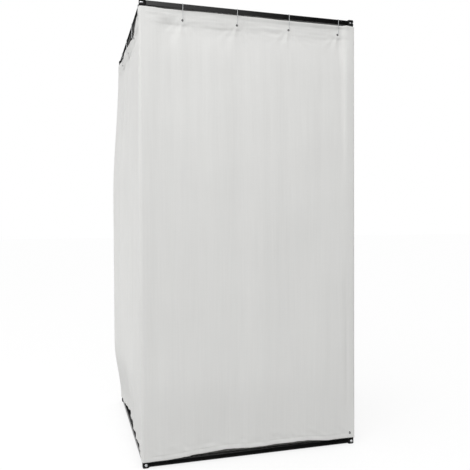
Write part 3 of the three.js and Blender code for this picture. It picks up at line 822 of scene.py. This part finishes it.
def stitches(side):
    """The lockstitch rows that hold heading, hem and turned edge: small raised stitches 3.2 mm apart."""
    start = RIGHT_EDGE + 2 if side["name"] == "right" else -SEAM + 1.6
    end = FREE_EDGE - 2 if side["name"] == "front" else REACH + 4
    lines = [("across", HEM_HEIGHT + HEM_STITCHES), ("across", CURTAIN_TOP - LOWER_STITCHES),
             ("across", CURTAIN_TOP - UPPER_STITCHES)]
    if side["name"] == "front":
        lines.append(("up", FREE_EDGE - EDGE_STITCHES))
    if side["name"] == "right":
        lines.append(("up", RIGHT_EDGE + EDGE_STITCHES))
    surface = -0.5 * CLOTH_THICKNESS
    size = Matrix.Diagonal((STITCH_HALF_LENGTH, THREAD_RADIUS, THREAD_RADIUS, 1))
    bm = bmesh.new()
    for way, fixed in lines:
        low, high = (start, end) if way == "across" else (HEM_HEIGHT + 3, CURTAIN_TOP - 3)
        count = int((high - low) / STITCH_PITCH)
        row = bmesh.new()
        for i in range(count):
            at = lerp(low, high, (i + 0.5) / count)
            s, level = (at, fixed) if way == "across" else (fixed, at)
            if nearest_eyelet(side, s, level) < EYELET_FLANGE + STITCH_CLEARANCE:
                continue
            point = cloth_point(side, s, level, surface)
            onward = (s + 1, level) if way == "across" else (s, level + 1)
            along = (cloth_point(side, *onward, surface) - point).normalized()
            turn = along.to_track_quat("X", "Z").to_matrix().to_4x4()
            bmesh.ops.create_icosphere(row, subdivisions=1, radius=1,
                                       matrix=Matrix.Translation(point) @ turn @ size)
        gather(bm, row)
    return finish_piece(f"stitching_{side['name']}", bm, sewing_thread, side, "frame")


# Hooks and eyelets
def extruded_end(bm, faces, move, scale, centre):
    """Pulls the end of a wire on by a move, scaled about its centre, and gives the new end's faces."""
    made = bmesh.ops.extrude_face_region(bm, geom=faces)["geom"]
    verts = [e for e in made if isinstance(e, bmesh.types.BMVert)]
    for v in verts:
        v.co = centre + (v.co - centre) * scale
    bmesh.ops.translate(bm, vec=move, verts=verts)
    return [e for e in made if isinstance(e, bmesh.types.BMFace)]


def wire(bm, points, bend, radius):
    """A round wire along points in the plane x = 0, its corners bent round and its ends chamfered."""
    first = (points[1] - points[0]).normalized()
    turn = first.to_track_quat("Z", "X").to_matrix().to_4x4()
    small = radius - WIRE_CHAMFER
    ring = bmesh.ops.create_circle(bm, cap_ends=True, segments=12, radius=small,
                                   matrix=Matrix.Translation(points[0]) @ turn)["verts"]
    faces = [f for f in bm.faces if all(v in ring for v in f.verts)]
    faces = extruded_end(bm, faces, first * WIRE_CHAMFER_LENGTH, radius / small, points[0])
    here = points[0] + first * WIRE_CHAMFER_LENGTH
    for before, corner, after in zip(points, points[1:], points[2:]):
        inward, outward = (corner - before).normalized(), (after - corner).normalized()
        bend_start = corner - inward * bend
        faces = extruded_end(bm, faces, bend_start - here, 1, here)
        spun = bmesh.ops.spin(bm, geom=faces, cent=bend_start + outward * bend,
                              axis=inward.cross(outward), angle=QUARTER, steps=6)["geom_last"]
        faces = [e for e in spun if isinstance(e, bmesh.types.BMFace)]
        here = corner + outward * bend
    chamfer = (points[-1] - points[-2]).normalized() * WIRE_CHAMFER_LENGTH
    faces = extruded_end(bm, faces, points[-1] - chamfer - here, 1, here)
    extruded_end(bm, faces, chamfer, small / radius, points[-1] - chamfer)
    close_up(bm)


def hook(side, number):
    """A wire hook: over the rail, down its outer face, through the eyelet and up behind the cloth."""
    u = side["places"][number - 1]
    cloth_y = -REACH - stand_off(side, u, EYELET_HEIGHT)
    outer = -REACH + RAIL_INSET - WIRE_STAND_OFF
    inner = -REACH + RAIL_INSET + TUBE_SIDE + WIRE_STAND_OFF
    over = RAIL_TOP + WIRE_STAND_OFF
    through = EYELET_HEIGHT + EYELET_BORE - WIRE_STAND_OFF
    tip = cloth_y + HOOK_TIP_REACH
    route = [(inner, RAIL_TOP - HOOK_INNER_LEG), (inner, over), (outer, over), (outer, through),
             (tip, through), (tip, through + HOOK_TIP_RISE)]
    bm = bmesh.new()
    wire(bm, [Vector((0, y, z)) for y, z in route], WIRE_BEND, WIRE_RADIUS)
    bmesh.ops.translate(bm, vec=(u, 0, 0), verts=bm.verts)
    body = f"runner_{number}" if side["name"] == "front" else "frame"
    name = f"hook_{side['name']}_{number}"
    return finish_piece(f"wire_{name}", bm, drawn_wire, side, body, [name], 60)


def eyelet(side, x, z, name, body, replaces):
    """A pressed eyelet: a barrel with a rolled flange on the face and a flat one behind."""
    bore, flange, half = EYELET_BORE, EYELET_FLANGE, EYELET_HALF_LENGTH
    face = [(bore + 0.05, 0.7), (bore + 0.4, 0.18), (bore + 1.2, 0), (flange - 1.2, 0.02),
            (flange - 0.35, 0.28), (flange, 0.62), (flange - 0.15, 0.86), (flange - 0.8, 0.8),
            (bore + 0.95, 0.8)]
    back = [(bore + 0.95, 0.75), (flange - 0.9, 0.6), (flange - 0.6, 0.35), (flange - 0.9, 0.1),
            (bore + 0.8, 0), (bore + 0.2, 0.2), (bore, 0.6)]
    bm = bmesh.new()
    verts = [bm.verts.new((0, radius, depth - half)) for radius, depth in face]
    verts += [bm.verts.new((0, radius, half - depth)) for radius, depth in back]
    edges = [bm.edges.new((a, b)) for a, b in zip(verts, verts[1:] + verts[:1])]
    bmesh.ops.spin(bm, geom=verts + edges, cent=(0, 0, 0), axis=(0, 0, 1), angle=math.tau, steps=32,
                   use_merge=True)
    close_up(bm, 0.0005)
    cloth_y = -REACH - stand_off(side, x, z)
    place = Matrix.Translation((x, cloth_y, z)) @ Matrix.Rotation(-QUARTER, 4, "X")
    bmesh.ops.transform(bm, matrix=place, verts=bm.verts)
    return finish_piece(name, bm, black_nickel, side, body, replaces, 50)


# The whole object
for obj in bpy.data.objects:
    if obj.name.startswith(("rail_", "post_")):
        obj.material_slots[0].link = "OBJECT"
        obj.material_slots[0].material = powder_coat

for side in SIDES:
    connector(side, True)
    connector(side, False)
    corner_plate(side)
    bolt(side)
    door = side["name"] == "front"
    for number, u in enumerate(side["places"], 1):
        hook(side, number)
        name = f"eyelet_{side['name']}_{number}"
        body = f"runner_{number}" if door else "frame"
        eyelet(side, u, EYELET_HEIGHT, f"pressed_{name}", body, [name] if door else [])
    if door:
        eyelet(side, HEM_EYELET_PLACE, HEM_EYELET_HEIGHT, "pressed_eyelet_hem",
                               "hem_eyelet", ["eyelet_hem"])
    cloth, cut = curtain(side)
    sewn = stitches(side)
    if door:
        for piece in (cloth, sewn):
            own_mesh(piece)


# Floor, light and camera
def seen_white(tree):
    """1 for a ray that shows the surroundings themselves: the camera's, or one by a mirror or glass."""
    path = add(tree, "ShaderNodeLightPath")
    first = add(tree, "ShaderNodeMath",
                {0: path.outputs["Is Camera Ray"], 1: path.outputs["Is Glossy Ray"]},
                operation="MAXIMUM")
    return add(tree, "ShaderNodeMath", {0: first.outputs[0], 1: path.outputs["Is Transmission Ray"]},
               operation="MAXIMUM").outputs[0]


# A white room, which looks plain white and lights the cabin a little more from the left.
world = bpy.data.worlds.new("white studio")
bpy.context.scene.world = world
world.use_nodes = True
world.node_tree.nodes.clear()
output = add(world.node_tree, "ShaderNodeOutputWorld")
shown = add(world.node_tree, "ShaderNodeBackground", {"Color": (1, 1, 1, 1), "Strength": 1.0})
towards = add(world.node_tree, "ShaderNodeSeparateXYZ",
              {"Vector": add(world.node_tree, "ShaderNodeTexCoord").outputs["Generated"]})
from_left = add(world.node_tree, "ShaderNodeMapRange",
                {"Value": towards.outputs["X"], "From Min": -1, "From Max": 1, "To Min": 1.11,
                 "To Max": 0.79})
lighting = add(world.node_tree, "ShaderNodeBackground",
               {"Color": (1, 1, 1, 1), "Strength": from_left.outputs["Result"]})
blend = add(world.node_tree, "ShaderNodeMixShader",
            {0: seen_white(world.node_tree), 1: lighting.outputs[0], 2: shown.outputs[0]})
world.node_tree.links.new(blend.outputs[0], output.inputs["Surface"])

# White studio floor: most of its brightness is its own, and the rest is lit, so that it keeps a soft
# shadow. Inside the cabin it is only lit, and its colour is painted shade, a darker grey, so that the gap
# under the hem shows the shade in there.
studio_floor, tree, output = new_material("white_studio_floor")
place = add(tree, "ShaderNodeVectorMath", {0: add(tree, "ShaderNodeTexCoord").outputs["Object"]},
            operation="ABSOLUTE")
apart = add(tree, "ShaderNodeSeparateXYZ", {"Vector": place.outputs[0]})
farther = add(tree, "ShaderNodeMath", {0: apart.outputs["X"], 1: apart.outputs["Y"]},
              operation="MAXIMUM")
outside = add(tree, "ShaderNodeMath",
              {0: farther.outputs[0], 1: (REACH - RAIL_INSET - TUBE_SIDE / 2) * MM},
              operation="GREATER_THAN")
shade = add(tree, "ShaderNodeValToRGB", {"Fac": outside.outputs[0]})
# Painted shade: inside the cabin the floor's colour is a darker grey, on top of the real shade in there.
shade.color_ramp.elements[0].color = linear("#9a9a98")
lit = add(tree, "ShaderNodeBsdfDiffuse", {"Color": shade.outputs["Color"]})
glow = add(tree, "ShaderNodeEmission", {"Color": (1, 1, 1, 1), "Strength": seen_white(tree)})
glow_share = add(tree, "ShaderNodeMath", {0: outside.outputs[0], 1: 0.75}, operation="MULTIPLY")
mostly_glow = add(tree, "ShaderNodeMixShader",
                  {0: glow_share.outputs[0], 1: lit.outputs[0], 2: glow.outputs[0]})
tree.links.new(mostly_glow.outputs[0], output.inputs["Surface"])

# Black velvet on a board, which the paint mirrors as black.
black_velvet, tree, output = new_material("black_velvet_board")
velvet = add(tree, "ShaderNodeBsdfDiffuse", {"Color": linear("#050505")})
tree.links.new(velvet.outputs[0], output.inputs["Surface"])


def stage_sheet(name, size, material, place=Matrix()):
    """A flat square of the studio, which isn't part of the object."""
    bm = bmesh.new()
    bmesh.ops.create_grid(bm, x_segments=1, y_segments=1, size=size / 2, matrix=place)
    mesh = bpy.data.meshes.new(name)
    bm.to_mesh(mesh)
    bm.free()
    mesh.materials.append(material)
    obj = bpy.data.objects.new(name, mesh)
    bpy.context.scene.collection.objects.link(obj)
    return obj


stage_sheet("floor", 80, studio_floor)

# The boards' sides and places, in metres. Only mirror reflections see them: without them the black rails
# would mirror the white room and look grey.
upright = Matrix.Rotation(QUARTER, 4, "X")
boards = {
    "dark_board_right": (5.4, Matrix.Translation((3.5, -3.0, 2.9)) @ upright),
    "dark_board_behind": (5.0, Matrix.Translation((-3.1, 4.0, 2.6)) @ upright),
    "dark_board_before": (3.0, Matrix.Translation((0, -2.01, 0.001))),
}
for name, (size, place) in boards.items():
    board = stage_sheet(name, size, black_velvet, place)
    board.visible_camera = False
    board.visible_diffuse = False
    board.visible_shadow = False


def soft_light(name, place, target, size, watts):
    """A rectangular softbox at a place, turned to a target, both in metres. The camera can't see it."""
    lamp = bpy.data.lights.new(name, "AREA")
    lamp.shape = "RECTANGLE"
    lamp.size, lamp.size_y = size
    lamp.energy = watts
    obj = bpy.data.objects.new(name, lamp)
    bpy.context.scene.collection.objects.link(obj)
    obj.location = place
    obj.rotation_euler = (Vector(target) - Vector(place)).to_track_quat("-Z", "Y").to_euler()
    obj.visible_camera = False


# A key high at the front, and two weak fills: one for the left side and one for the foot of the front.
soft_light("key", (-1.3, -2.6, 3.4), (-0.4, -0.5, 1.7), (2.6, 1.3), 32)
soft_light("side", (-2.0, 0.2, 0.6), (-0.5, 0.1, 0.8), (1.0, 1.2), 3.6)
soft_light("low", (-0.2, -1.9, 0.15), (0, -0.5, 0.1), (1.6, 0.25), 1.3)

# The camera stands to the left in front of the cabin, about half as high, and looks a little to the
# right. Its turns are in radians, its place in metres and its focal length in pixels of the picture.
YAW, PITCH, ROLL = 0.2817, -0.0208, -0.0047
CAMERA_PLACE = (-0.79985, -2.97056, 1.052)
FOCAL_PIXELS = 579.0
PICTURE_PIXELS = 470
SENSOR_WIDTH = 36
eye = bpy.data.objects.new("camera", bpy.data.cameras.new("camera"))
bpy.context.scene.collection.objects.link(eye)
bpy.context.scene.camera = eye
ahead = Vector((math.sin(YAW) * math.cos(PITCH), math.cos(YAW) * math.cos(PITCH), math.sin(PITCH)))
right = Vector((math.cos(YAW), -math.sin(YAW), 0))
up = right.cross(ahead)
rolled_right = right * math.cos(ROLL) + up * math.sin(ROLL)
rolled_up = up * math.cos(ROLL) - right * math.sin(ROLL)
eye.matrix_world = Matrix.Translation(CAMERA_PLACE) @ Matrix(
    (rolled_right, rolled_up, -ahead)).transposed().to_4x4()
eye.data.sensor_width = SENSOR_WIDTH
eye.data.lens = SENSOR_WIDTH * FOCAL_PIXELS / PICTURE_PIXELS

bpy.context.scene.view_settings.view_transform = "Standard"
